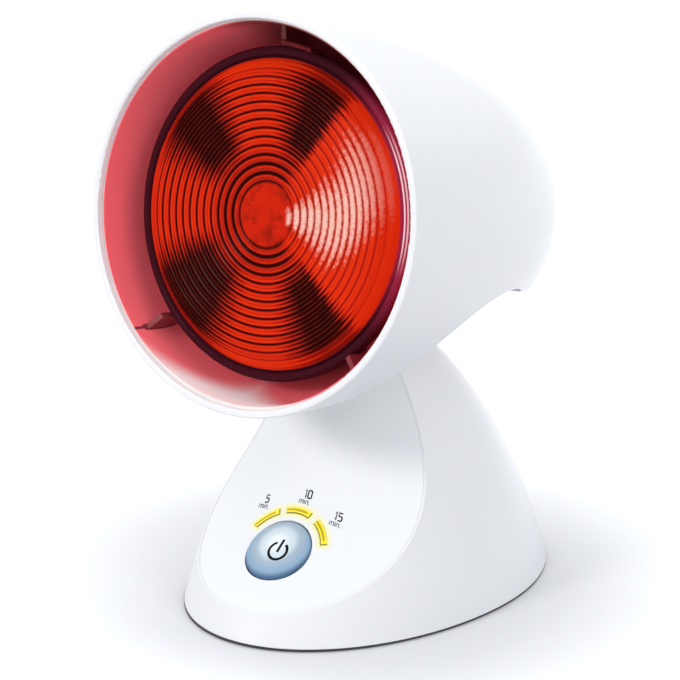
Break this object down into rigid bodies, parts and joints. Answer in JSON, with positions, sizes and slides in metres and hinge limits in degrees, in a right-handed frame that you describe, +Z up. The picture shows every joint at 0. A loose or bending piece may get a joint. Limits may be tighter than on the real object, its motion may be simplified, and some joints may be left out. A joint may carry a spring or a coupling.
{
  "type": "infrared heat therapy lamp",
  "caption": "Table-top infrared heat lamp: bullet hood with a red reflector bulb, tilting on a bell base with a round button and timer lights.",
  "frame": {"origin": "on the floor, under the middle of the lamp's outline", "axes": "+Z up, -Y the way the lamp faces, +X to the right for someone who faces the lamp; X = 0 is its plane of symmetry"},
  "size_m": [0.1458, 0.1749, 0.2329],
  "materials": {
    "white_housing": "gloss",
    "white_panel": "satin",
    "red_lit_bowl": "satin",
    "ruby_glass": "ribbed",
    "mirrored_glass": "mirrored inside",
    "tungsten": "bare",
    "cap_metal": "satin",
    "black_glass": "gloss",
    "contact_metal": "bare",
    "porcelain": "glazed",
    "steel": "zinc plated",
    "grey_frame": "moulded",
    "dark_plate": "moulded",
    "rubber": "matte",
    "yellow_window": "translucent",
    "circuit_board": "satin",
    "component_blue": "satin",
    "component_black": "satin",
    "blue_grey_button": "metallic"
  },
  "bodies": {
    "base": {"base_shell": "white_housing", "front_panel": "white_panel", "base_plate": "dark_plate", "base_screws": "steel", "rubber_feet": "rubber", "hinge_axle": "steel", "axle_caps": "white_housing", "detent_spring": "steel", "detent_screw": "steel", "light_guides": "yellow_window", "control_board": "circuit_board", "control_board_screws": "steel", "indicator_leds": "yellow_window", "tact_switch": "dark_plate", "power_board": "circuit_board", "power_board_screws": "steel", "relay": "component_blue", "capacitor": "component_black", "transformer": "steel", "terminal_block": "component_blue", "cord_bush": "rubber"},
    "head": {"hood_shell": "white_housing", "inner_bowl": "red_lit_bowl", "bulb_lens": "ruby_glass", "bulb_reflector": "mirrored_glass", "filament": "tungsten", "bulb_cap": "cap_metal", "cap_insulator": "black_glass", "tip_contact": "contact_metal", "lamp_holder": "porcelain", "holder_sleeve": "contact_metal", "holder_contact": "contact_metal", "holder_bracket": "steel", "bracket_screws": "steel", "head_frame": "grey_frame", "frame_screws": "steel", "underside_cover": "white_housing"},
    "button": {"power_button": "blue_grey_button"}
  },
  "joints": [
    {"name": "head_tilt", "type": "hinge", "parent": "base", "child": "head", "pos_m": [0, 0.0071, 0.097], "axis": [-1, 0, 0], "range_deg": [-8, 24]},
    {"name": "power_button_press", "type": "slide", "parent": "base", "child": "button", "axis": [0, 0.6066, -0.795], "range_m": [0, 0.0012], "stiffness_N_per_m": 1200}
  ]
}
